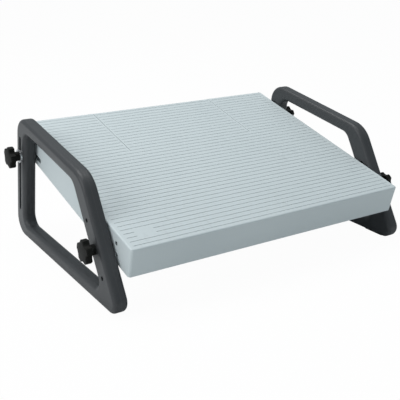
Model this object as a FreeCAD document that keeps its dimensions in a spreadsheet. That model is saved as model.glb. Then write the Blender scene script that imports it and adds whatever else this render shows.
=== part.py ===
import FreeCAD, Part
import Sketcher
import os
import re

# Tilting under desk footrest: a grooved footboard tray hung between two loop-shaped side frames.
# Millimetres and degrees. +X is the sitter's right, +Y is the rear, +Z is up. The origin is on the
# floor, midway between the side frames and midway between the front and the rear of the object.

vector = FreeCAD.Vector

# Driving dimensions: alias, value, what it measures
DIMENSIONS = [
    ("foot_length", 348.0, "side frame length along the floor, between its sharp corners"),
    ("foot_setback", 8.5, "how far the middle of that length lies in front of the origin"),
    ("rear_height", 191.4, "height of the side frame's sharp rear top corner"),
    ("front_height", 159.4, "height of the side frame's sharp front top corner"),
    ("rear_lean", 10.0, "forward lean of the rear upright"),
    ("front_lean", 31.5, "backward lean of the front upright"),
    ("frame_thick", 20.2, "side frame thickness"),
    ("bottom_bar", 20.5, "depth of the bottom bar"),
    ("rear_bar", 29.6, "width of the rear upright"),
    ("top_bar", 19.5, "depth of the top bar"),
    ("front_bar", 31.6, "width of the front upright"),
    ("toe_round", 15.5, "outer radius at the front foot"),
    ("heel_round", 27.0, "outer radius at the rear foot"),
    ("crown_round", 27.0, "outer radius at the rear top"),
    ("brow_round", 45.0, "outer radius at the front top"),
    ("toe_throat", 11.0, "loop radius inside the front foot"),
    ("heel_throat", 14.0, "loop radius inside the rear foot"),
    ("crown_throat", 14.0, "loop radius inside the rear top"),
    ("brow_throat", 20.0, "loop radius inside the front top"),
    ("outer_edge_round", 5.5, "edge rounding along the outside of the frame"),
    ("inner_edge_round", 7.0, "edge rounding along the loop"),
    ("hole_height", 73.1, "height of the middle pivot hole above the frame's underside"),
    ("hole_step", 37.5, "spacing of the three pivot holes along the front upright"),
    ("slot_low", 44.4, "height of the lower end of the bolt's travel in the frame slot"),
    ("slot_high", 157.4, "height of the upper end of the bolt's travel in the frame slot"),
    ("pad_length", 40.0, "length of a rubber foot pad"),
    ("pad_width", 9.0, "width of a rubber foot pad"),
    ("pad_recess", 1.5, "depth of the recess that holds a foot pad"),
    ("pad_proud", 1.6, "how far a foot pad stands below the frame"),
    ("pad_play", 0.15, "gap round a foot pad in its recess"),
    ("toe_pad_place", 50.0, "middle of the front pad, behind the sharp front corner"),
    ("heel_pad_place", 60.0, "middle of the rear pad, in front of the sharp rear corner"),
    ("tray_width", 450.0, "footboard tray width"),
    ("tray_overhang", 46.5, "how far the tray reaches behind the resting rear bolt"),
    ("skirt_height", 41.0, "tray height at its skirt"),
    ("tray_skin", 3.0, "thickness of the tray's top"),
    ("tray_wall", 3.0, "thickness of the skirt"),
    ("corner_round", 4.0, "radius of the tray's upright corners"),
    ("rim_round", 2.0, "radius of the tray's top edge"),
    ("rest_tilt", 13.3, "tilt of the tray at rest"),
    ("pivot_inset", 53.0, "pivot's distance behind the tray's front edge"),
    ("bolt_depth", 28.3, "depth of the front bolts below the tray's top"),
    ("slot_dip", 0.3, "angle by which the tray slot lies below the line of the front bolts"),
    ("groove_count", 40, "number of grooves across the tray"),
    ("groove_width", 0.7, "width of a groove"),
    ("groove_depth", 0.6, "depth of a groove"),
    ("groove_margin", 7.6, "first and last groove's distance from the tray's edges"),
    ("groove_end", 6.5, "distance from a groove's end to the side of the tray"),
    ("patch_row", 2, "number of grooves in front of the smooth patch"),
    ("patch_rows", 2, "number of grooves that the smooth patch interrupts"),
    ("patch_inset", 21.0, "distance of the smooth patch from the tray's left side"),
    ("patch_width", 27.0, "width of the smooth patch"),
    ("panel_row", 25, "number of grooves in front of the rear panel"),
    ("panel_width", 218.0, "width of the rear panel"),
    ("panel_thick", 3.0, "thickness of the rear panel"),
    ("panel_gap", 0.7, "seam between the rear panel and the tray"),
    ("panel_border", 3.0, "smooth strip on each side of the seam"),
    ("bed_thick", 2.5, "thickness of the tray under the rear panel"),
    ("bed_margin", 8.0, "how far the thickened bed runs past the panel"),
    ("peg_diameter", 6.0, "diameter of the panel's locating pegs"),
    ("peg_length", 5.0, "length of the panel's pegs below the panel"),
    ("peg_play", 0.1, "radial clearance of a peg in its hole"),
    ("peg_inset", 18.0, "distance of a peg from the panel's sides"),
    ("rib_thick", 2.4, "thickness of the ribs under the tray"),
    ("rib_depth", 6.0, "depth of the ribs below the tray's skin"),
    ("cross_ribs", 3, "number of ribs across the tray"),
    ("long_ribs", 5, "number of ribs from front to rear"),
    ("boss_thick", 3.0, "thickness added inside the skirt at the bolts"),
    ("boss_reach", 10.5, "half height of the thickened area"),
    ("spare_high_back", -15.2, "upper spare hole, behind the pivot"),
    ("spare_high_up", 13.9, "upper spare hole, above the pivot"),
    ("spare_low_back", -18.5, "lower spare hole, behind the pivot"),
    ("spare_low_up", -1.2, "lower spare hole, above the pivot"),
    ("spare_hole", 6.4, "diameter of the spare holes in the skirt"),
    ("tray_slot_ahead", 27.0, "reach of the tray slot in front of the resting rear bolt"),
    ("tray_slot_behind", 18.0, "reach of the tray slot behind the resting rear bolt"),
    ("tray_slot_play", 0.9, "clearance of the rear bolt to each side of the tray slot"),
    ("side_gap", 1.2, "gap between the tray and a side frame"),
    ("spacer_diameter", 20.0, "diameter of the nylon spacers in that gap"),
    ("spacer_play", 0.1, "how much thinner a spacer is than the gap"),
    ("bolt_diameter", 6.0, "thread diameter of the bolts"),
    ("bolt_length", 40.0, "length of a bolt under its head"),
    ("bolt_tip", 0.8, "chamfer at the end of a bolt"),
    ("pivot_play", 0.1, "radial clearance of the front bolts in the side frames"),
    ("slot_play", 0.2, "clearance of the rear bolt to each side of the frame slot"),
    ("washer_play", 0.2, "radial clearance of washers and spacers on a bolt"),
    ("thread_play", 0.05, "radial clearance that stands for the thread"),
    ("cup_head", 16.0, "diameter of the front bolt's round head"),
    ("cup_height", 3.9, "height of the front bolt's round head"),
    ("cup_round", 3.0, "rounding of that head"),
    ("neck_length", 4.0, "length of the front bolt's square neck"),
    ("neck_play", 0.1, "clearance of the square neck in the skirt"),
    ("hex_across", 10.0, "rear bolt head, across its flats"),
    ("hex_height", 4.0, "rear bolt head height"),
    ("inner_washer", 18.0, "diameter of the washer under the rear bolt's head"),
    ("inner_washer_thick", 1.6, "thickness of that washer"),
    ("rear_washer", 20.0, "diameter of the bright washer under a rear knob"),
    ("rear_washer_thick", 2.6, "thickness of that washer"),
    ("front_washer_thick", 0.6, "thickness of the washer under a front knob"),
    ("hub_diameter", 14.0, "knob hub diameter"),
    ("hub_height", 7.2, "knob hub height"),
    ("head_diameter", 32.0, "knob head diameter over its lobes"),
    ("head_thick", 9.0, "knob head thickness at its rim"),
    ("head_dome", 1.4, "rise of the knob's domed face"),
    ("lobe_count", 5, "number of lobes on a knob"),
    ("hollow_across", 20.0, "diameter of the ring-shaped hollow in the back of a knob's head"),
    ("hollow_depth", 3.5, "depth of that hollow"),
    ("turn_front_left", 52.0, "direction of a hollow between two lobes, up from the rear"),
    ("turn_front_right", 20.0, "the same on the front right knob"),
    ("turn_rear_left", 66.0, "the same on the rear left knob"),
    ("turn_rear_right", 40.0, "the same on the rear right knob"),
    ("scallop_radius", 7.5, "radius of the hollows between the lobes"),
    ("scallop_depth", 3.6, "depth of those hollows"),
    ("lobe_round", 1.6, "rounding of the knob's edges"),
    ("insert_diameter", 9.0, "diameter of the threaded metal insert in a knob"),
    ("insert_length", 13.0, "length of that insert"),
    ("insert_play", 0.02, "radial gap between an insert and its knob"),
    ("knob_bore", 15.0, "depth of the bore in a knob"),
]

# Places worked out from them. Heights in the side frame are measured from its underside.
PLACES = [
    ("toe_y", "-foot_length / 2 - foot_setback"),
    ("heel_y", "foot_length / 2 - foot_setback"),
    ("crown_y", "heel_y - rear_height * tan(rear_lean)"),
    ("brow_y", "toe_y + front_height * tan(front_lean)"),
    ("top_slope", "atan((rear_height - front_height) / (crown_y - brow_y))"),
    ("pivot_y", "toe_y + front_bar / 2 / cos(front_lean) + hole_height * tan(front_lean)"),
    ("slot_y", "heel_y - rear_bar / 2 / cos(rear_lean)"),
    ("slot_square", "(slot_y - hole_height * tan(rear_lean) - pivot_y) * cos(rear_lean)"),
    ("bolt_angle", "rest_tilt - slot_dip"),
    ("bolt_reach", "slot_square / cos(bolt_angle - rear_lean)"),
    ("bolt_y", "pivot_y + bolt_reach * cos(bolt_angle)"),
    ("pivot_z", "hole_height + pad_proud"),
    ("bolt_z", "pivot_z + bolt_reach * sin(bolt_angle)"),
    ("tray_slot_z", "-bolt_reach * sin(slot_dip)"),
    ("tray_half", "tray_width / 2"),
    ("tray_front", "-pivot_inset"),
    ("tray_back", "bolt_reach + tray_overhang"),
    ("tray_depth", "tray_back + pivot_inset"),
    ("tray_base", "bolt_depth - skirt_height"),
    ("boss_face", "tray_half - tray_wall - boss_thick"),
    ("frame_in", "tray_half + side_gap"),
    ("frame_mid", "frame_in + frame_thick / 2"),
    ("frame_out", "frame_in + frame_thick"),
    ("groove_pitch", "(tray_depth - 2 * groove_margin) / (groove_count - 1)"),
    ("first_groove", "tray_front + groove_margin"),
    ("panel_front", "first_groove + panel_row * groove_pitch"),
    ("bed_top", "bolt_depth - panel_thick"),
    ("rib_top", "bolt_depth - tray_skin"),
    ("inner_width", "tray_width - 2 * tray_wall"),
    ("inner_depth", "tray_depth - 2 * tray_wall"),
    ("cross_pitch", "inner_depth / (cross_ribs + 1)"),
    ("long_pitch", "inner_width / (long_ribs + 1)"),
]

SIDES = {"left": -1, "right": 1}

doc = FreeCAD.newDocument("under_desk_footrest")
dims = doc.addObject("Spreadsheet::Sheet", "dims")
places = doc.addObject("Spreadsheet::Sheet", "places")
sheet_of = {}
parts = []


def formula(text):
    """The text as an expression that names the sheet of every dimension in it."""
    return re.sub(r"[a-z]+(_[a-z]+)+", lambda name: sheet_of[name[0]] + name[0], text)


def value(text):
    """What an expression comes to now, as a plain number."""
    answer = places.evalExpression(formula(text))
    return float(getattr(answer, "Value", answer))


def fill_sheets():
    for line, (alias, number, note) in enumerate(DIMENSIONS, 1):
        dims.set(f"A{line}", note)
        dims.set(f"B{line}", str(number))
        dims.setAlias(f"B{line}", alias)
        sheet_of[alias] = "dims."
    for line, (alias, text) in enumerate(PLACES, 1):
        places.set(f"B{line}", "=" + formula(text).replace("places.", ""))
        places.setAlias(f"B{line}", alias)
        sheet_of[alias] = "places."
    doc.recompute()


# Bodies and sketches

def new_body(label, y="0", z="0", tilt=False):
    """An empty body whose local X axis lies along X at height z and depth y."""
    body = doc.addObject("PartDesign::Body", label)
    body.Label = label
    turn = value("rest_tilt") if tilt else 0
    body.Placement = FreeCAD.Placement(vector(0, 0, 0), FreeCAD.Rotation(vector(1, 0, 0), turn))
    body.setExpression("Placement.Base.y", formula(y))
    body.setExpression("Placement.Base.z", formula(z))
    if tilt:
        body.setExpression("Placement.Rotation.Angle", formula("rest_tilt"))
    parts.append(body)
    return body


def origin_feature(body, role):
    return [item for item in body.Origin.OriginFeatures if item.Role == role][0]


def new_sketch(body, role, shift="0"):
    """A sketch on one of the body's own origin planes, moved along that plane's normal."""
    sketch = body.newObject("Sketcher::SketchObject", "sketch")
    sketch.AttachmentSupport = (origin_feature(body, role), [""])
    sketch.MapMode = "FlatFace"
    sketch.setExpression("AttachmentOffset.Base.z", formula(shift))
    return sketch


def fix(sketch, kind, where, text):
    """Adds one dimension to the sketch and binds it to the sheet."""
    index = sketch.addConstraint(Sketcher.Constraint(kind, *where, value(text)))
    sketch.renameConstraint(index, f"size{index}")
    sketch.setExpression(f"Constraints.size{index}", formula(text))


def fix_point(sketch, edge, end, x, y):
    fix(sketch, "DistanceX", (edge, end), x)
    fix(sketch, "DistanceY", (edge, end), y)


def outline(sketch, corners, dome=None):
    """A closed outline through the corners; side number dome is an arc centred on the X axis."""
    spots = [vector(value(x), value(y), 0) for x, y in corners]
    first = sketch.GeometryCount
    count = len(spots)
    starts = [1] * count
    for side in range(count):
        start = spots[side]
        end = spots[(side + 1) % count]
        if side == dome:
            starts[side] = add_dome(sketch, start, end)
        else:
            sketch.addGeometry(Part.LineSegment(start, end))
    for side in range(count):
        after = (side + 1) % count
        joint = (first + side, 3 - starts[side], first + after, starts[after])
        sketch.addConstraint(Sketcher.Constraint("Coincident", *joint))
        fix_point(sketch, first + side, starts[side], *corners[side])
    if dome is not None:
        sketch.addConstraint(Sketcher.Constraint("PointOnObject", first + dome, 3, -1))


def add_dome(sketch, start, end):
    """Adds an arc centred on the X axis and tells which of its two ends lies at start."""
    centre = vector((end.dot(end) - start.dot(start)) / (2 * (end.x - start.x)), 0, 0)
    middle = (start + end) / 2 - centre
    crown = centre + middle.normalize() * start.distanceToPoint(centre)
    if (start - centre).cross(end - centre).z > 0:
        sketch.addGeometry(Part.Arc(start, crown, end))
        return 1
    sketch.addGeometry(Part.Arc(end, crown, start))
    return 2


def rectangle(sketch, x_low, x_high, y_low, y_high):
    outline(sketch, [(x_low, y_low), (x_high, y_low), (x_high, y_high), (x_low, y_high)])


def circle(sketch, x, y, radius):
    spot = vector(value(x), value(y), 0)
    index = sketch.addGeometry(Part.Circle(spot, vector(0, 0, 1), value(radius)))
    fix_point(sketch, index, 3, x, y)
    fix(sketch, "Radius", (index,), radius)


def slot(sketch, one, other, radius):
    """A round-ended slot between two centres."""
    start = vector(value(one[0]), value(one[1]), 0)
    end = vector(value(other[0]), value(other[1]), 0)
    along = (end - start).normalize()
    wide = vector(-along.y, along.x, 0) * value(radius)
    tip = along * value(radius)
    first = sketch.addGeometry(Part.Arc(start + wide, start - tip, start - wide))
    sketch.addGeometry(Part.Arc(end - wide, end + tip, end + wide))
    sketch.addGeometry(Part.LineSegment(start - wide, end - wide))
    sketch.addGeometry(Part.LineSegment(end + wide, start + wide))
    near, far, low, high = range(first, first + 4)
    for joint in ((near, 2, low, 1), (low, 2, far, 1), (far, 2, high, 1), (high, 2, near, 1)):
        sketch.addConstraint(Sketcher.Constraint("Tangent", *joint))
    sketch.addConstraint(Sketcher.Constraint("Equal", near, far))
    fix_point(sketch, near, 3, *one)
    fix_point(sketch, far, 3, *other)
    fix(sketch, "Radius", (near,), radius)


# Features

def extrude(body, kind, sketch, length, reverse=False):
    """A pad or pocket of a given length, or one through everything both ways when length is None."""
    before = body.Shape.Volume if kind == "Pocket" else 0
    feature = body.newObject("PartDesign::" + kind, kind.lower())
    feature.Profile = sketch
    feature.Reversed = reverse
    if length is None:
        feature.Type = "ThroughAll"
        feature.SideType = "Symmetric"
    else:
        feature.setExpression("Length", formula(length))
    doc.recompute()
    if kind == "Pocket" and feature.Shape.Volume > before - 0.1:
        raise RuntimeError(f"a pocket of {body.Label} cuts nothing")
    return feature


def centred_pad(body, sketch, length):
    feature = extrude(body, "Pad", sketch, length)
    feature.SideType = "Symmetric"
    doc.recompute()
    return feature


def fillet(body, test, radius):
    """Rounds the edges of the finished shape that pass the test."""
    base = body.Tip
    names = [f"Edge{number}" for number, edge in enumerate(base.Shape.Edges, 1) if test(edge)]
    feature = body.newObject("PartDesign::Fillet", "fillet")
    feature.Base = (base, names)
    feature.setExpression("Radius", formula(radius))
    doc.recompute()


def mirrored(body, feature):
    """Repeats a feature on the other side of the body's YZ plane."""
    copy = body.newObject("PartDesign::Mirrored", "mirrored")
    copy.Originals = [feature]
    copy.MirrorPlane = (origin_feature(body, "YZ_Plane"), [""])
    body.Tip = copy
    doc.recompute()


def row(body, feature, axis, pitch, count):
    """Repeats a feature along one of the body's axes."""
    copy = body.newObject("PartDesign::LinearPattern", "row")
    copy.Originals = [feature]
    copy.Direction = (origin_feature(body, axis), [""])
    copy.Mode = "Spacing"
    copy.setExpression("Offset", formula(pitch))
    copy.setExpression("Occurrences", formula(count))
    body.Tip = copy
    doc.recompute()


def ring(body, feature, count):
    """Repeats a feature round the body's X axis."""
    copy = body.newObject("PartDesign::PolarPattern", "ring")
    copy.Originals = [feature]
    copy.Axis = (origin_feature(body, "X_Axis"), [""])
    copy.Angle = 360
    copy.setExpression("Occurrences", formula(count))
    body.Tip = copy
    doc.recompute()


def revolve(body, corners, dome=None):
    """Turns an outline of (distance along X, radius) pairs round the body's X axis."""
    sketch = new_sketch(body, "XY_Plane")
    outline(sketch, corners, dome)
    feature = body.newObject("PartDesign::Revolution", "revolution")
    feature.Profile = sketch
    feature.ReferenceAxis = (origin_feature(body, "X_Axis"), [""])
    feature.Angle = 360
    doc.recompute()


# Tests that pick edges

def is_corner(y, z):
    """An edge along X through the point y, z."""
    def test(edge):
        start, end = edge.Vertexes[0].Point, edge.Vertexes[-1].Point
        near = abs(start.y - value(y)) < 0.01 and abs(start.z - value(z)) < 0.01
        return near and abs(start.x - end.x) > 1 and abs(start.y - end.y) < 0.01
    return test


def on_side_face(body, outer):
    """An edge of the flat side faces: of their outer wires, or of the wires of their openings."""
    chosen = []
    for face in body.Tip.Shape.Faces:
        if face.Surface.TypeId == "Part::GeomPlane" and abs(abs(face.normalAt(0, 0).x) - 1) < 1e-6:
            for wire in face.Wires:
                if wire.isSame(face.OuterWire) == outer:
                    chosen.extend(wire.Edges)
    return lambda edge: any(edge.isSame(other) for other in chosen)


# Side frames

def frame_corners():
    """The frame's sharp outer corners, from the front foot round by the rear."""
    return [("toe_y", "0"), ("heel_y", "0"), ("crown_y", "rear_height"), ("brow_y", "front_height")]


def loop_corners():
    """The loop's sharp corners: each outer corner moved in by the two bars that meet there."""
    crown = "(cos(top_slope) * cos(rear_lean) + sin(top_slope) * sin(rear_lean))"
    brow = "(cos(top_slope) * cos(front_lean) - sin(top_slope) * sin(front_lean))"
    return [
        ("toe_y + bottom_bar * tan(front_lean) + front_bar / cos(front_lean)", "bottom_bar"),
        ("heel_y - bottom_bar * tan(rear_lean) - rear_bar / cos(rear_lean)", "bottom_bar"),
        (f"crown_y + (top_bar * sin(rear_lean) - rear_bar * cos(top_slope)) / {crown}",
         f"rear_height - (top_bar * cos(rear_lean) + rear_bar * sin(top_slope)) / {crown}"),
        (f"brow_y + (front_bar * cos(top_slope) - top_bar * sin(front_lean)) / {brow}",
         f"front_height + (front_bar * sin(top_slope) - top_bar * cos(front_lean)) / {brow}"),
    ]


def along_slot(height):
    """The point of the frame slot's centre line at a height."""
    return (f"slot_y - {height} * tan(rear_lean)", height)


def along_front(offset):
    """The point of the front upright's centre line at a distance along it from the pivot."""
    return (f"pivot_y + {offset} * sin(front_lean)", f"hole_height + {offset} * cos(front_lean)")


def side_frame(name, side):
    body = new_body(f"{name}_side_frame", z="pad_proud")
    body.setExpression("Placement.Base.x", formula(f"{side} * frame_mid"))
    sketch = new_sketch(body, "YZ_Plane")
    outline(sketch, frame_corners())
    centred_pad(body, sketch, "frame_thick")
    for corner, radius in zip(frame_corners(), ("toe_round", "heel_round", "crown_round", "brow_round")):
        fillet(body, is_corner(*corner), radius)
    sketch = new_sketch(body, "YZ_Plane")
    outline(sketch, loop_corners())
    extrude(body, "Pocket", sketch, None)
    throats = ("toe_throat", "heel_throat", "crown_throat", "brow_throat")
    for corner, radius in zip(loop_corners(), throats):
        fillet(body, is_corner(*corner), radius)
    fillet(body, on_side_face(body, True), "outer_edge_round")
    fillet(body, on_side_face(body, False), "inner_edge_round")
    sketch = new_sketch(body, "YZ_Plane")
    slot(sketch, along_slot("slot_low"), along_slot("slot_high"), "bolt_diameter / 2 + slot_play")
    for offset in ("-hole_step", "0", "hole_step"):
        circle(sketch, *along_front(offset), "bolt_diameter / 2 + pivot_play")
    extrude(body, "Pocket", sketch, None)
    sketch = new_sketch(body, "XY_Plane")
    for middle in pad_middles().values():
        pad_outline(sketch, middle, "pad_play")
    extrude(body, "Pocket", sketch, "pad_recess", reverse=True)


def pad_middles():
    return {"front": "toe_y + toe_pad_place", "rear": "heel_y - heel_pad_place"}


def pad_outline(sketch, middle, play):
    reach = "(pad_length - pad_width) / 2"
    slot(sketch, ("0", f"{middle} - {reach}"), ("0", f"{middle} + {reach}"), f"pad_width / 2 + {play}")


def foot_pad(name, side, end):
    body = new_body(f"foot_pad_{end}_{name}")
    body.setExpression("Placement.Base.x", formula(f"{side} * frame_mid"))
    sketch = new_sketch(body, "XY_Plane")
    pad_outline(sketch, pad_middles()[end], "0")
    extrude(body, "Pad", sketch, "pad_recess + pad_proud")


# Footboard tray

def tray_body(label):
    """A body whose origin lies on the pivot axis and whose Y axis runs back along the tray."""
    return new_body(label, "pivot_y", "pivot_z", tilt=True)


def grooves(body, spans, first_row, count, top):
    """Cuts a row of grooves; each span is where one groove of the row starts and ends along X."""
    sketch = new_sketch(body, "XY_Plane", top)
    middle = f"first_groove + ({first_row}) * groove_pitch"
    for low, high in spans:
        rectangle(sketch, low, high, f"{middle} - groove_width / 2", f"{middle} + groove_width / 2")
    cut = extrude(body, "Pocket", sketch, "groove_depth")
    row(body, cut, "Y_Axis", "groove_pitch", count)


def tray_shell(body):
    sketch = new_sketch(body, "XY_Plane", "tray_base")
    rectangle(sketch, "-tray_half", "tray_half", "tray_front", "tray_back")
    extrude(body, "Pad", sketch, "skirt_height")
    fillet(body, lambda edge: abs(edge.Vertexes[0].Z - edge.Vertexes[-1].Z) > 1, "corner_round")
    top = value("bolt_depth")
    fillet(body, lambda edge: all(abs(end.Z - top) < 0.01 for end in edge.Vertexes), "rim_round")
    sketch = new_sketch(body, "XY_Plane", "tray_base")
    half = "tray_half - tray_wall"
    rectangle(sketch, f"-({half})", half, "tray_front + tray_wall", "tray_back - tray_wall")
    extrude(body, "Pocket", sketch, "skirt_height - tray_skin", reverse=True)


def tray_ribs(body):
    half = "tray_half - tray_wall"
    front = "tray_front + tray_wall"
    sketch = new_sketch(body, "XY_Plane", "rib_top")
    middle = f"{front} + cross_pitch"
    rectangle(sketch, f"-({half})", half, f"{middle} - rib_thick / 2", f"{middle} + rib_thick / 2")
    rib = extrude(body, "Pad", sketch, "rib_depth", reverse=True)
    row(body, rib, "Y_Axis", "cross_pitch", "cross_ribs")
    sketch = new_sketch(body, "XY_Plane", "rib_top")
    middle = f"long_pitch - ({half})"
    rectangle(sketch, f"{middle} - rib_thick / 2", f"{middle} + rib_thick / 2",
              front, "tray_back - tray_wall")
    rib = extrude(body, "Pad", sketch, "rib_depth", reverse=True)
    row(body, rib, "X_Axis", "long_pitch", "long_ribs")


def tray_panel_seat(body):
    """The thickened bed under the rear panel, the panel's recess and its peg holes."""
    sketch = new_sketch(body, "XY_Plane", "bed_top")
    half = "panel_width / 2 + bed_margin"
    rectangle(sketch, f"-({half})", half, "panel_front - bed_margin", "tray_back - tray_wall / 2")
    extrude(body, "Pad", sketch, "bed_thick", reverse=True)
    sketch = new_sketch(body, "XY_Plane", "bolt_depth")
    half = "panel_width / 2 + panel_gap"
    rectangle(sketch, f"-({half})", half, "panel_front - panel_gap / 2", "tray_back + rim_round")
    extrude(body, "Pocket", sketch, "panel_thick")
    sketch = new_sketch(body, "XY_Plane", "bed_top")
    peg_circles(sketch, "peg_diameter / 2 + peg_play")
    extrude(body, "Pocket", sketch, "bed_thick + rib_depth")


def peg_circles(sketch, radius):
    across = "panel_width / 2 - peg_inset"
    for x in (f"-({across})", across):
        for y in ("panel_front + peg_inset", "tray_back - tray_wall - peg_inset"):
            circle(sketch, x, y, radius)


def tray_bosses(body):
    """Thickened areas inside the skirt for the bolts, then the holes through them."""
    sketch = new_sketch(body, "YZ_Plane", "boss_face")
    rectangle(sketch, "-boss_reach", "boss_reach", "-boss_reach", "boss_reach")
    rectangle(sketch, "bolt_reach - tray_slot_ahead - boss_reach / 2",
              "bolt_reach + tray_slot_behind + boss_reach / 2", "-boss_reach", "boss_reach")
    pad = extrude(body, "Pad", sketch, "boss_thick + tray_wall / 2")
    mirrored(body, pad)
    sketch = new_sketch(body, "YZ_Plane", "boss_face")
    neck = "(bolt_diameter / 2 + neck_play)"
    rectangle(sketch, f"-{neck}", neck, f"-{neck}", neck)
    slot_half = "(bolt_diameter / 2 + tray_slot_play)"
    slot(sketch, (f"bolt_reach - tray_slot_ahead + {slot_half}", "tray_slot_z"),
         (f"bolt_reach + tray_slot_behind - {slot_half}", "tray_slot_z"), slot_half)
    circle(sketch, "spare_high_back", "spare_high_up", "spare_hole / 2")
    circle(sketch, "spare_low_back", "spare_low_up", "spare_hole / 2")
    cut = extrude(body, "Pocket", sketch, "boss_thick + tray_wall + side_gap", reverse=True)
    mirrored(body, cut)


def footboard_tray():
    body = tray_body("footboard_tray")
    tray_shell(body)
    tray_ribs(body)
    tray_panel_seat(body)
    tray_bosses(body)
    end = "tray_half - groove_end"
    whole = [(f"-({end})", end)]
    patch = "patch_inset - tray_half"
    split = [(f"-({end})", patch), (f"{patch} + patch_width", end)]
    side = "panel_width / 2 + panel_border"
    aside = [(f"-({end})", f"-({side})"), (side, end)]
    after_patch = "patch_row + patch_rows"
    grooves(body, whole, "0", "patch_row", "bolt_depth")
    grooves(body, split, "patch_row", "patch_rows", "bolt_depth")
    grooves(body, whole, after_patch, f"panel_row - {after_patch.replace('+', '-')}", "bolt_depth")
    grooves(body, aside, "panel_row", "groove_count - panel_row", "bolt_depth")


def rear_panel():
    body = tray_body("rear_panel")
    sketch = new_sketch(body, "XY_Plane", "bed_top")
    half = "panel_width / 2"
    rectangle(sketch, f"-{half}", half, "panel_front + panel_gap / 2", "tray_back")
    extrude(body, "Pad", sketch, "panel_thick")
    top = value("bolt_depth")
    back = value("tray_back")

    def is_back_edge(edge):
        return all(abs(end.Z - top) < 0.01 and abs(end.Y - back) < 0.01 for end in edge.Vertexes)

    fillet(body, is_back_edge, "panel_thick * 0.9")
    sketch = new_sketch(body, "XY_Plane", "bed_top")
    peg_circles(sketch, "peg_diameter / 2")
    extrude(body, "Pad", sketch, "peg_length", reverse=True)
    end = "panel_width / 2 - panel_border"
    grooves(body, [(f"-({end})", end)], "panel_row + 1", "groove_count - panel_row - 1", "bolt_depth")


# Fasteners

def front_place():
    return ("pivot_y", "pivot_z")


def rear_place():
    return ("bolt_y", "bolt_z")


def out(side, text):
    """A distance outward from the middle of the footrest, as an X coordinate."""
    return f"{side} * ({text})"


def turned_ring(label, place, side, low, high, bore, across):
    """A washer or spacer from one distance outward to another."""
    body = new_body(label, *place)
    inner = f"({bore}) / 2"
    outer = f"({across}) / 2"
    low_x = out(side, low)
    high_x = out(side, high)
    revolve(body, [(low_x, inner), (high_x, inner), (high_x, outer), (low_x, outer)])
    return body


def shank(side, under_head, head):
    """Outline of a bolt: its head's corners, then its chamfered shank."""
    tip = f"{under_head} + bolt_length"
    return head + [
        (out(side, under_head), "bolt_diameter / 2"),
        (out(side, f"{tip} - bolt_tip"), "bolt_diameter / 2"),
        (out(side, tip), "bolt_diameter / 2 - bolt_tip"),
        (out(side, tip), "0"),
    ]


def front_bolt(name, side):
    body = new_body(f"front_bolt_{name}", *front_place(), tilt=True)
    top = out(side, "boss_face - cup_height")
    head = [(top, "0"), (top, "cup_head / 2"), (out(side, "boss_face"), "cup_head / 2")]
    revolve(body, shank(side, "boss_face", head))
    top_x = value(top)
    fillet(body, lambda edge: abs(edge.Vertexes[0].X - top_x) < 0.01 and edge.Length > 1, "cup_round")
    sketch = new_sketch(body, "YZ_Plane", out(side, "boss_face"))
    half = "bolt_diameter / 2"
    rectangle(sketch, f"-{half}", half, f"-{half}", half)
    extrude(body, "Pad", sketch, "neck_length", reverse=side < 0)


def rear_bolt(name, side):
    under_head = "boss_face - inner_washer_thick"
    body = new_body(f"rear_bolt_{name}", *rear_place())
    start = out(side, f"{under_head} - hex_height / 2")
    revolve(body, shank(side, under_head, [(start, "0"), (start, "bolt_diameter / 2")]))
    sketch = new_sketch(body, "YZ_Plane", out(side, under_head))
    across = "hex_across / cos(30) / 2"
    outline(sketch, [(f"{across} * cos({turn})", f"{across} * sin({turn})") for turn in range(0, 360, 60)])
    extrude(body, "Pad", sketch, "hex_height", reverse=side > 0)


def knob(name, side, end, place, seat):
    """A lobed hand knob on a round hub, bored from the hub's face at distance seat."""
    body = new_body(f"{end}_knob_{name}", *place)
    bore = "insert_diameter / 2 + insert_play"
    rim = f"{seat} + hub_height + head_thick"
    hollow = f"{seat} + hub_height + hollow_depth"
    corners = [
        (out(side, seat), bore),
        (out(side, seat), "hub_diameter / 2"),
        (out(side, hollow), "hub_diameter / 2"),
        (out(side, hollow), "hollow_across / 2"),
        (out(side, f"{seat} + hub_height"), "hollow_across / 2"),
        (out(side, f"{seat} + hub_height"), "head_diameter / 2"),
        (out(side, rim), "head_diameter / 2"),
        (out(side, f"{rim} + head_dome"), "0"),
        (out(side, f"{seat} + knob_bore"), "0"),
        (out(side, f"{seat} + knob_bore"), bore),
    ]
    revolve(body, corners, dome=6)
    sketch = new_sketch(body, "YZ_Plane", out(side, f"{seat} + hub_height"))
    reach = "(head_diameter / 2 + scallop_radius - scallop_depth)"
    turn = f"turn_{end}_{name}"
    circle(sketch, f"{reach} * cos({turn})", f"{reach} * sin({turn})", "scallop_radius")
    cut = extrude(body, "Pocket", sketch, "head_thick + head_dome", reverse=side > 0)
    ring(body, cut, "lobe_count")
    inner = value("hollow_across / 2") + 0.5
    back = side * value(f"{seat} + hub_height")
    front = side * value(rim)

    def is_head_edge(edge):
        middle = edge.valueAt((edge.FirstParameter + edge.LastParameter) / 2)
        far = (middle.y ** 2 + middle.z ** 2) ** 0.5 > inner
        ends = [end.X for end in edge.Vertexes]
        flat = all(abs(x - back) < 0.01 for x in ends) or all(abs(x - front) < 2 for x in ends)
        return far and (flat or abs(ends[0] - ends[-1]) > 1)

    fillet(body, is_head_edge, "lobe_round")
    return body


def knob_insert(name, side, end, place, seat):
    bore = "bolt_diameter + 2 * thread_play"
    turned_ring(f"{end}_knob_insert_{name}", place, side, seat, f"{seat} + insert_length", bore,
                "insert_diameter")


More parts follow.
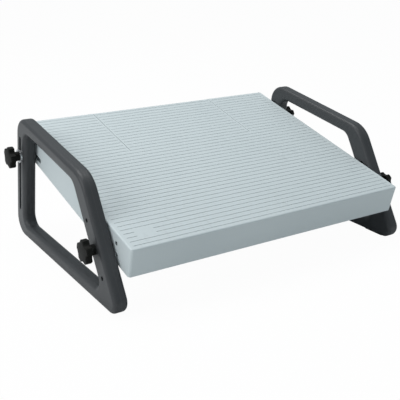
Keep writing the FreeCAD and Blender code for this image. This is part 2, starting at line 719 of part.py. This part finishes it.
def clamp_stack(name, side):
    """The spacers, washers, knobs and bolts of one side of the footrest."""
    loose = "bolt_diameter + 2 * washer_play"
    front_seat = "frame_out + front_washer_thick"
    rear_seat = "frame_out + rear_washer_thick"
    gap = ("tray_half + spacer_play / 2", "frame_in - spacer_play / 2")
    turned_ring(f"front_spacer_{name}", front_place(), side, *gap, loose, "spacer_diameter")
    turned_ring(f"rear_spacer_{name}", rear_place(), side, *gap, loose, "spacer_diameter")
    turned_ring(f"inner_washer_{name}", rear_place(), side, "boss_face - inner_washer_thick", "boss_face",
                loose, "inner_washer")
    turned_ring(f"front_washer_{name}", front_place(), side, "frame_out", front_seat, loose, "hub_diameter")
    turned_ring(f"rear_washer_{name}", rear_place(), side, "frame_out", rear_seat, loose, "rear_washer")
    front_bolt(name, side)
    rear_bolt(name, side)
    knob(name, side, "front", front_place(), front_seat)
    knob(name, side, "rear", rear_place(), rear_seat)
    knob_insert(name, side, "front", front_place(), front_seat)
    knob_insert(name, side, "rear", rear_place(), rear_seat)


# The whole footrest

def build():
    for name, side in SIDES.items():
        side_frame(name, side)
        for end in pad_middles():
            foot_pad(name, side, end)
    footboard_tray()
    rear_panel()
    for name, side in SIDES.items():
        clamp_stack(name, side)


def check():
    """Stops when any object failed to build or any part is not one valid solid."""
    doc.recompute()
    for item in doc.Objects:
        if "Invalid" in item.State or "Error" in item.State:
            raise RuntimeError(f"{item.Label} ({item.Name}) failed: {item.State}")
    for part in parts:
        if part.Shape.isNull() or not part.Shape.isValid() or len(part.Shape.Solids) != 1:
            raise RuntimeError(f"{part.Label} is not one valid solid")


def export():
    os.makedirs("parts", exist_ok=True)
    for part in parts:
        part.Shape.exportStep(f"parts/{part.Label}.step")
        box = part.Shape.BoundBox
        print(f"{part.Label}: {part.Shape.Volume / 1000:.1f} cm3, y {box.YMin:.1f} to {box.YMax:.1f}, "
              f"z {box.ZMin:.1f} to {box.ZMax:.1f}")


fill_sheets()
build()
check()
export()
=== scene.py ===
import math

import bpy
from mathutils import Matrix, Vector


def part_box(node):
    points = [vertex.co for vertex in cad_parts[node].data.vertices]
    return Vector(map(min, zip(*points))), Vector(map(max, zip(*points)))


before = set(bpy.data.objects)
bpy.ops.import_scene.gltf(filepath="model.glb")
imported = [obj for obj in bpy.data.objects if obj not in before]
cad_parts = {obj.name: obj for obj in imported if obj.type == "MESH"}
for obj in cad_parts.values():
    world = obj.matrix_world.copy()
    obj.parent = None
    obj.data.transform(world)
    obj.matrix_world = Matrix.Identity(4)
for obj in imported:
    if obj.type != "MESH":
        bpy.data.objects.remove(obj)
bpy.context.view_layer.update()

# Tilting under desk footrest. Metres; +X is the sitter's right, +Y the rear, +Z up.

# Camera: where it stands, where it looks and how long its lens is
CAMERA_PLACE = (-0.6024, -0.8945, 0.4516)
CAMERA_YAW = 0.5836
CAMERA_PITCH = 0.3518
CAMERA_ROLL = 0.0148
CAMERA_LENS = 66.87

# Lights: name, place, what it points at, size and power
LAMPS = [
    ("key softbox", (-2.0, 0.1, 1.2), (0.0, 0.0, 0.10), 1.2, 17.0),
    ("top softbox", (-0.2, 0.5, 2.0), (0.0, 0.0, 0.10), 1.4, 25.5),
]
ROOM_LIGHT = 0.38
ROOM_TINT = (0.84, 0.95, 1.0)
FLOOR_GREY = (0.82, 0.82, 0.82)
FLOOR_WHITENESS = 0.97
FLOOR_ACROSS = 12.0

# Colours, as linear values
TRAY_GREY = (0.585, 0.642, 0.655)
TRAY_SHADE = (0.495, 0.555, 0.570)
FRAME_GREY = (0.056, 0.058, 0.061)
FRAME_SHADE = (0.042, 0.044, 0.047)
FRAME_WORN = (0.085, 0.086, 0.088)
KNOB_BLACK = (0.006, 0.006, 0.005)
KNOB_WORN = (0.022, 0.022, 0.021)
NYLON_BLACK = (0.015, 0.015, 0.016)
RUBBER_BLACK = (0.018, 0.018, 0.018)
ZINC = (0.66, 0.67, 0.68)
ZINC_DULL = (0.44, 0.45, 0.47)
BRASS = (0.62, 0.44, 0.18)
BRASS_DULL = (0.40, 0.27, 0.10)

# How strongly each effect shows: clouds of the second colour in a plastic, the brightness of painted shade
# and scuffs against that colour, the parting line's colour and height, scuffs, and the painted shade in
# seams and holes
CLOUD_SHARE = 0.22
SHADE_AND_SCUFF_BRIGHTNESS = 0.30
PARTING_SHARE = 0.35
PARTING_HEIGHT = 1.2
SCUFF_SHARE = 0.18
SHADE_SHARE = 0.85

# The same on metal: dull spots, painted shade in hollows, and that shade's brightness against the dull
# colour
DULL_SHARE = 0.6
METAL_CREVICE_SHADE = 0.5
METAL_SHADE_BRIGHTNESS = 0.25

# The mould's parting line runs round each side frame at this distance from the middle
PARTING_LINE = 0.2363
PARTING_WIDTH = 0.0004

# The tray's tilt in degrees, and the places on it that the light hardly reaches: how far they lie from the
# middle, behind the front bolts and above those bolts, each from one distance to another
TRAY_TILT = 13.3
SKIRT_HOLES = ((0.2150, 0.2243), (-0.045, 0.285), (-0.020, 0.021))
PANEL_SEAM = ((-0.0010, 0.1105), (0.165, 0.2985), (0.0250, 0.0275))

# The bolts' thread: its pitch, and the radius within which a surface belongs to it
THREAD_PITCH = 0.0010
THREAD_RADIUS = 0.0031


# Shader node groups

def new_group(name, inputs, outputs):
    """An empty shader group with float sockets; an input is a name and its usual value."""
    group = bpy.data.node_groups.new(name, "ShaderNodeTree")
    for socket_name, usual in inputs:
        socket = group.interface.new_socket(socket_name, in_out="INPUT", socket_type="NodeSocketFloat")
        socket.default_value = usual
    for socket_name in outputs:
        group.interface.new_socket(socket_name, in_out="OUTPUT", socket_type="NodeSocketFloat")
    return group, group.nodes.new("NodeGroupInput"), group.nodes.new("NodeGroupOutput")


def add(tree, kind, **settings):
    """A node of that kind, with plain properties set by name."""
    node = tree.nodes.new("ShaderNode" + kind)
    for name, setting in settings.items():
        setattr(node, name, setting)
    return node


def math_node(tree, operation, first, second):
    """A Math node; each of its two inputs is a socket or a number."""
    node = add(tree, "Math", operation=operation)
    for socket, source in zip(node.inputs, (first, second)):
        if isinstance(source, (int, float)):
            socket.default_value = source
        else:
            tree.links.new(source, socket)
    return node.outputs[0]


def remap(tree, source, low, high):
    """0 where the source is low and 1 where it is high; low may be the larger of the two."""
    node = add(tree, "MapRange")
    tree.links.new(source, node.inputs["Value"])
    node.inputs["From Min"].default_value = low
    node.inputs["From Max"].default_value = high
    return node.outputs["Result"]


def noise(tree, coordinates, scale, detail, roughness=0.5):
    """Noise between 0 and 1; the scale is a socket or a number."""
    node = add(tree, "TexNoise")
    tree.links.new(coordinates, node.inputs["Vector"])
    if isinstance(scale, (int, float)):
        node.inputs["Scale"].default_value = scale
    else:
        tree.links.new(scale, node.inputs["Scale"])
    node.inputs["Detail"].default_value = detail
    node.inputs["Roughness"].default_value = roughness
    return node.outputs["Fac"]


def moulded_grain():
    """Grain of a moulded surface: a fine stipple, and slow cloudy changes over the piece."""
    group, entry, leave = new_group("moulded grain", [("Stipple Scale", 1500.0), ("Cloud Scale", 9.0)],
                                    ["Stipple", "Cloud"])
    place = add(group, "TexCoord").outputs["Object"]
    fine = noise(group, place, entry.outputs["Stipple Scale"], 2.0)
    cells = add(group, "TexVoronoi", feature="SMOOTH_F1")
    group.links.new(place, cells.inputs["Vector"])
    group.links.new(entry.outputs["Stipple Scale"], cells.inputs["Scale"])
    bumps = math_node(group, "ADD", fine, cells.outputs["Distance"])
    group.links.new(math_node(group, "MULTIPLY", bumps, 0.5), leave.inputs["Stipple"])
    cloud = noise(group, place, entry.outputs["Cloud Scale"], 3.0)
    group.links.new(remap(group, cloud, 0.3, 0.7), leave.inputs["Cloud"])
    return group


def edge_wear():
    """A mask of the edges where hands, shoes and packing rub the surface, broken up by noise."""
    group, entry, leave = new_group("edge wear", [("Reach", 0.0015), ("Patch Scale", 60.0)], ["Wear"])
    place = add(group, "TexCoord").outputs["Object"]
    bevel = add(group, "Bevel", samples=6)
    group.links.new(entry.outputs["Reach"], bevel.inputs["Radius"])
    turn = add(group, "VectorMath", operation="DOT_PRODUCT")
    group.links.new(bevel.outputs["Normal"], turn.inputs[0])
    group.links.new(add(group, "NewGeometry").outputs["Normal"], turn.inputs[1])
    edge = remap(group, turn.outputs["Value"], 0.999, 0.93)
    patch = remap(group, noise(group, place, entry.outputs["Patch Scale"], 4.0, 0.6), 0.38, 0.62)
    group.links.new(math_node(group, "MULTIPLY", edge, patch), leave.inputs["Wear"])
    return group


def crevice_painted_shade():
    """A mask of grooves, seams and inside corners, found by ambient occlusion, for painted shade there."""
    group, entry, leave = new_group("crevice painted shade", [("Depth", 0.0015)], ["Dirt"])
    hollow = add(group, "AmbientOcclusion", samples=8, only_local=True)
    group.links.new(entry.outputs["Depth"], hollow.inputs["Distance"])
    group.links.new(remap(group, hollow.outputs["AO"], 0.95, 0.35), leave.inputs["Dirt"])
    return group


def brushed_lines():
    """Fine turned or rolled lines on bright metal, and dull spots in its plating."""
    group, entry, leave = new_group("turned metal", [("Line Scale", 900.0)], ["Lines", "Dull"])
    place = add(group, "TexCoord").outputs["Object"]
    stretch = add(group, "Mapping")
    stretch.inputs["Scale"].default_value = (0.05, 1.0, 1.0)
    group.links.new(place, stretch.inputs["Vector"])
    lines = noise(group, stretch.outputs["Vector"], entry.outputs["Line Scale"], 2.0)
    group.links.new(lines, leave.inputs["Lines"])
    spots = noise(group, place, 140.0, 4.0, 0.65)
    group.links.new(remap(group, spots, 0.42, 0.68), leave.inputs["Dull"])
    return group


def shoe_scuffs():
    """Faint streaks from front to rear where soles have slid over a surface that faces up."""
    group, entry, leave = new_group("shoe scuffs", [("Streak Scale", 160.0)], ["Scuff"])
    place = add(group, "TexCoord").outputs["Object"]
    stretch = add(group, "Mapping")
    stretch.inputs["Scale"].default_value = (1.0, 0.06, 1.0)
    stretch.inputs["Rotation"].default_value = (0.0, 0.0, 0.12)
    group.links.new(place, stretch.inputs["Vector"])
    streaks = remap(group, noise(group, stretch.outputs["Vector"], entry.outputs["Streak Scale"], 5.0, 0.6),
                    0.56, 0.72)
    areas = remap(group, noise(group, place, 7.0, 2.0), 0.50, 0.66)
    normal = add(group, "SeparateXYZ")
    group.links.new(add(group, "NewGeometry").outputs["Normal"], normal.inputs[0])
    upward = remap(group, normal.outputs["Z"], 0.80, 0.95)
    both = math_node(group, "MULTIPLY", streaks, areas)
    group.links.new(math_node(group, "MULTIPLY", both, upward), leave.inputs["Scuff"])
    return group


def thread_ridges():
    """Right-handed ridges round an axis along X, on surfaces within the thread's radius."""
    group, entry, leave = new_group("thread ridges", [("Axis Y", 0.0), ("Axis Z", 0.0)], ["Ridge"])
    place = add(group, "SeparateXYZ")
    group.links.new(add(group, "TexCoord").outputs["Object"], place.inputs[0])
    y = math_node(group, "SUBTRACT", place.outputs["Y"], entry.outputs["Axis Y"])
    z = math_node(group, "SUBTRACT", place.outputs["Z"], entry.outputs["Axis Z"])
    turn = math_node(group, "DIVIDE", math_node(group, "ARCTAN2", z, y), 2 * math.pi)
    along = math_node(group, "DIVIDE", place.outputs["X"], THREAD_PITCH)
    ridge = math_node(group, "PINGPONG", math_node(group, "SUBTRACT", along, turn), 0.5)
    radius = math_node(group, "SQRT", math_node(group, "ADD", math_node(group, "MULTIPLY", y, y),
                                                math_node(group, "MULTIPLY", z, z)), 0.0)
    inside = math_node(group, "LESS_THAN", radius, THREAD_RADIUS)
    group.links.new(math_node(group, "MULTIPLY", ridge, inside), leave.inputs["Ridge"])
    return group


GRAIN = moulded_grain()
WEAR = edge_wear()
CREVICE_SHADE = crevice_painted_shade()
METAL_LINES = brushed_lines()
SCUFFS = shoe_scuffs()
THREAD = thread_ridges()


# Materials

def use_group(tree, group, **values):
    """Places a shared group in a material with its own values; _ in a name stands for a space."""
    node = add(tree, "Group", node_tree=group)
    for name, number in values.items():
        node.inputs[name.replace("_", " ")].default_value = number
    return node


def mix_colour(tree, mask, first, second):
    """First where the mask is 0 and second where it is 1; each is a colour or a socket."""
    node = add(tree, "Mix", data_type="RGBA")
    tree.links.new(mask, node.inputs["Factor"])
    for name, source in (("A", first), ("B", second)):
        socket = [item for item in node.inputs if item.name == name and item.type == "RGBA"][0]
        if isinstance(source, tuple):
            socket.default_value = (*source, 1.0)
        else:
            tree.links.new(source, socket)
    return [item for item in node.outputs if item.type == "RGBA"][0]


def new_material(name):
    """A new material with its node tree and its Principled shader."""
    material = bpy.data.materials.new(name)
    material.use_nodes = True
    tree = material.node_tree
    return material, tree, tree.nodes["Principled BSDF"]


def add_bump(tree, shader, height, distance, edge=0.0003):
    """Bump from a height, over normals that run softly round the edges."""
    soft = add(tree, "Bevel", samples=4)
    soft.inputs["Radius"].default_value = edge
    bump = add(tree, "Bump")
    tree.links.new(soft.outputs["Normal"], bump.inputs["Normal"])
    bump.inputs["Distance"].default_value = distance
    bump.inputs["Strength"].default_value = 1.0
    tree.links.new(height, bump.inputs["Height"])
    tree.links.new(bump.outputs["Normal"], shader.inputs["Normal"])


def moulded_plastic(name, colour, shade, worn, smoothness, stipple, stipple_depth, hollow_shade_depth, hollow_shade=0.6,
                    wear=0.5, shine=0.45, parting_line=False, tray=False):
    """Moulded plastic: cloudy colour, painted shade in its hollows, rubbed edges and a stippled skin."""
    material, tree, shader = new_material(name)
    grain = use_group(tree, GRAIN, Stipple_Scale=stipple)
    cloudy = math_node(tree, "MULTIPLY", grain.outputs["Cloud"], CLOUD_SHARE)
    base = mix_colour(tree, cloudy, colour, shade)
    # Painted shade: hollows found by ambient occlusion are darkened towards a dark copy of the shade colour
    painted_shade_mask = math_node(tree, "MULTIPLY", use_group(tree, CREVICE_SHADE, Depth=hollow_shade_depth).outputs["Dirt"], hollow_shade)
    dark = tuple(part * SHADE_AND_SCUFF_BRIGHTNESS for part in shade)
    base = mix_colour(tree, painted_shade_mask, base, dark)
    wear_mask = math_node(tree, "MULTIPLY", use_group(tree, WEAR).outputs["Wear"], wear)
    base = mix_colour(tree, wear_mask, base, worn)
    height = grain.outputs["Stipple"]
    if parting_line:
        line = parting_mask(tree)
        base = mix_colour(tree, math_node(tree, "MULTIPLY", line, PARTING_SHARE), base, worn)
        height = math_node(tree, "ADD", height, math_node(tree, "MULTIPLY", line, PARTING_HEIGHT))
    rough = math_node(tree, "ADD", math_node(tree, "MULTIPLY", grain.outputs["Cloud"], 0.08), smoothness)
    if tray:
        scuff = use_group(tree, SCUFFS).outputs["Scuff"]
        base = mix_colour(tree, math_node(tree, "MULTIPLY", scuff, SCUFF_SHARE), base, dark)
        rough = math_node(tree, "SUBTRACT", rough, math_node(tree, "MULTIPLY", scuff, 0.10))
        # Painted shade: the skirt's bolt holes and the rear panel's seam are darkened where little light
        # reaches
        places = tray_place(tree)
        for spans in (SKIRT_HOLES, PANEL_SEAM):
            shade_mask = math_node(tree, "MULTIPLY", inside_spans(tree, places, spans), SHADE_SHARE)
            base = mix_colour(tree, shade_mask, base, dark)
    tree.links.new(base, shader.inputs["Base Color"])
    rough = math_node(tree, "SUBTRACT", rough, math_node(tree, "MULTIPLY", wear_mask, 0.12))
    tree.links.new(rough, shader.inputs["Roughness"])
    shader.inputs["Specular IOR Level"].default_value = shine
    add_bump(tree, shader, height, stipple_depth)
    return material


def parting_mask(tree):
    """A thin line where the two halves of a side frame's mould met."""
    place = add(tree, "TexCoord").outputs["Object"]
    split = add(tree, "SeparateXYZ")
    tree.links.new(place, split.inputs[0])
    off = math_node(tree, "SUBTRACT", math_node(tree, "ABSOLUTE", split.outputs["X"], 0.0), PARTING_LINE)
    return remap(tree, math_node(tree, "ABSOLUTE", off, 0.0), PARTING_WIDTH, PARTING_WIDTH * 0.4)


def tray_place(tree):
    """Distance from the middle, and place in the tray's own frame, whose origin is on the front bolts."""
    low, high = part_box("front_bolt_left")
    level = add(tree, "Mapping", vector_type="TEXTURE")
    level.inputs["Location"].default_value = (0.0, (low.y + high.y) / 2, (low.z + high.z) / 2)
    level.inputs["Rotation"].default_value = (math.radians(TRAY_TILT), 0.0, 0.0)
    tree.links.new(add(tree, "TexCoord").outputs["Object"], level.inputs["Vector"])
    split = add(tree, "SeparateXYZ")
    tree.links.new(level.outputs["Vector"], split.inputs[0])
    off = math_node(tree, "ABSOLUTE", split.outputs["X"], 0.0)
    return off, split.outputs["Y"], split.outputs["Z"]


def inside_spans(tree, places, spans):
    """1 where each place lies within its span."""
    mask = math_node(tree, "GREATER_THAN", places[0], spans[0][0])
    for place, (start, end) in zip(places, spans):
        mask = math_node(tree, "MULTIPLY", mask, math_node(tree, "GREATER_THAN", place, start))
        mask = math_node(tree, "MULTIPLY", mask, math_node(tree, "LESS_THAN", place, end))
    return mask


def plated_metal(name, bright, dull, smoothness, bolt=None):
    """Bright plating: turned lines, dull spots and painted shade in its hollows."""
    material, tree, shader = new_material(name)
    lines = use_group(tree, METAL_LINES)
    base = mix_colour(tree, math_node(tree, "MULTIPLY", lines.outputs["Dull"], DULL_SHARE), bright, dull)
    # Painted shade: hollows found by ambient occlusion are darkened towards a dark copy of the dull colour
    painted_shade_mask = math_node(tree, "MULTIPLY", use_group(tree, CREVICE_SHADE, Depth=0.001).outputs["Dirt"],
                          METAL_CREVICE_SHADE)
    base = mix_colour(tree, painted_shade_mask, base, tuple(part * METAL_SHADE_BRIGHTNESS for part in dull))
    tree.links.new(base, shader.inputs["Base Color"])
    rough = math_node(tree, "ADD", math_node(tree, "MULTIPLY", lines.outputs["Dull"], 0.16), smoothness)
    rough = math_node(tree, "ADD", rough, math_node(tree, "MULTIPLY", lines.outputs["Lines"], 0.08))
    tree.links.new(rough, shader.inputs["Roughness"])
    shader.inputs["Metallic"].default_value = 1.0
    if bolt is None:
        add_bump(tree, shader, lines.outputs["Lines"], 0.00002)
        return material
    low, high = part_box(bolt)
    thread = use_group(tree, THREAD, Axis_Y=(low.y + high.y) / 2, Axis_Z=(low.z + high.z) / 2)
    add_bump(tree, shader, thread.outputs["Ridge"], 0.0006, edge=0.0001)
    return material


tray_plastic = moulded_plastic("pale tray plastic", TRAY_GREY, TRAY_SHADE, TRAY_GREY, 0.48, 1700.0,
                               0.00004, 0.0012, hollow_shade=0.2, wear=0.3, tray=True)
panel_plastic = moulded_plastic("pale panel plastic", TRAY_GREY, TRAY_SHADE, TRAY_GREY, 0.46, 1700.0,
                                0.00004, 0.0012, hollow_shade=0.2, wear=0.3, tray=True)
frame_plastic = moulded_plastic("dark frame plastic", FRAME_GREY, FRAME_SHADE, FRAME_WORN, 0.33, 1200.0,
                                0.00006, 0.0020, hollow_shade=0.5, wear=0.35, shine=0.25, parting_line=True)
knob_plastic = moulded_plastic("black knob plastic", KNOB_BLACK, KNOB_BLACK, KNOB_WORN, 0.50, 1600.0,
                               0.00004, 0.0015, hollow_shade=0.4, wear=0.5, shine=0.15)
nylon = moulded_plastic("black nylon", NYLON_BLACK, NYLON_BLACK, KNOB_WORN, 0.45, 2200.0, 0.00003, 0.001)
rubber = moulded_plastic("black foot rubber", RUBBER_BLACK, RUBBER_BLACK, FRAME_SHADE, 0.72, 900.0,
                         0.00010, 0.001, wear=0.7)
zinc = plated_metal("zinc plated steel", ZINC, ZINC_DULL, 0.24)
front_bolt_zinc = plated_metal("front bolt steel", ZINC, ZINC_DULL, 0.24, bolt="front_bolt_left")
rear_bolt_zinc = plated_metal("rear bolt steel", ZINC, ZINC_DULL, 0.24, bolt="rear_bolt_left")
brass = plated_metal("turned brass", BRASS, BRASS_DULL, 0.28)

FINISHES = [
    ("side_frame", frame_plastic),
    ("foot_pad", rubber),
    ("footboard_tray", tray_plastic),
    ("rear_panel", panel_plastic),
    ("knob_insert", brass),
    ("_knob_", knob_plastic),
    ("spacer", nylon),
    ("front_washer", nylon),
    ("washer", zinc),
    ("front_bolt", front_bolt_zinc),
    ("rear_bolt", rear_bolt_zinc),
]


def finish_of(node_name):
    """The finish of the first word in the list above that the node's name holds."""
    return [material for word, material in FINISHES if word in node_name][0]


for node_name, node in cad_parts.items():
    for material_slot in node.material_slots:
        material_slot.material = finish_of(node_name)


# Floor, light and camera

def make_floor():
    """A pale floor that shows white to the camera and keeps a faint shadow of the object."""
    bpy.ops.mesh.primitive_plane_add(size=FLOOR_ACROSS, location=(0.0, 0.0, 0.0))
    floor = bpy.context.object
    floor.name = "floor"
    material, tree, shader = new_material("pale floor")
    shader.inputs["Base Color"].default_value = (*FLOOR_GREY, 1.0)
    shader.inputs["Roughness"].default_value = 0.9
    white = add(tree, "Emission")
    white.inputs["Strength"].default_value = 1.0
    mix = add(tree, "MixShader")
    seen = add(tree, "LightPath")
    whiteness = math_node(tree, "MULTIPLY", seen.outputs["Is Camera Ray"], FLOOR_WHITENESS)
    tree.links.new(whiteness, mix.inputs["Fac"])
    tree.links.new(shader.outputs["BSDF"], mix.inputs[1])
    tree.links.new(white.outputs["Emission"], mix.inputs[2])
    tree.links.new(mix.outputs["Shader"], tree.nodes["Material Output"].inputs["Surface"])
    floor.data.materials.append(material)


def make_room():
    """Soft even light, which the camera sees as white."""
    world = bpy.data.worlds.new("studio")
    bpy.context.scene.world = world
    world.use_nodes = True
    tree = world.node_tree
    light = tree.nodes["Background"]
    light.inputs["Color"].default_value = (*ROOM_TINT, 1.0)
    light.inputs["Strength"].default_value = ROOM_LIGHT
    white = add(tree, "Background")
    white.inputs["Color"].default_value = (1.0, 1.0, 1.0, 1.0)
    white.inputs["Strength"].default_value = 1.0
    seen = add(tree, "LightPath")
    direct = math_node(tree, "MAXIMUM", seen.outputs["Is Camera Ray"], seen.outputs["Is Transmission Ray"])
    mix = add(tree, "MixShader")
    tree.links.new(direct, mix.inputs["Fac"])
    tree.links.new(light.outputs["Background"], mix.inputs[1])
    tree.links.new(white.outputs["Background"], mix.inputs[2])
    tree.links.new(mix.outputs["Shader"], tree.nodes["World Output"].inputs["Surface"])


def make_lamps():
    """Square softboxes, each turned to what it lights."""
    for name, place, target, size, power in LAMPS:
        lamp = bpy.data.lights.new(name, "AREA")
        lamp.size = size
        lamp.energy = power
        holder = bpy.data.objects.new(name, lamp)
        holder.location = place
        holder.rotation_euler = (Vector(target) - Vector(place)).to_track_quat("-Z", "Y").to_euler()
        bpy.context.scene.collection.objects.link(holder)


def make_camera():
    """A camera turned by its yaw from +Y to +X, its pitch downward and its roll about the line of sight."""
    camera = bpy.data.cameras.new("camera")
    camera.lens = CAMERA_LENS
    camera.sensor_width = 36.0
    camera.clip_start = 0.05
    holder = bpy.data.objects.new("camera", camera)
    forward = Vector((math.sin(CAMERA_YAW) * math.cos(CAMERA_PITCH),
                      math.cos(CAMERA_YAW) * math.cos(CAMERA_PITCH), -math.sin(CAMERA_PITCH)))
    level = Vector((math.cos(CAMERA_YAW), -math.sin(CAMERA_YAW), 0.0))
    upright = level.cross(forward)
    right = level * math.cos(CAMERA_ROLL) + upright * math.sin(CAMERA_ROLL)
    up = upright * math.cos(CAMERA_ROLL) - level * math.sin(CAMERA_ROLL)
    turn = Matrix((right, up, -forward)).transposed().to_4x4()
    holder.matrix_world = Matrix.Translation(CAMERA_PLACE) @ turn
    bpy.context.scene.collection.objects.link(holder)
    bpy.context.scene.camera = holder


make_floor()
make_room()
make_lamps()
make_camera()
bpy.context.scene.view_settings.view_transform = "Standard"
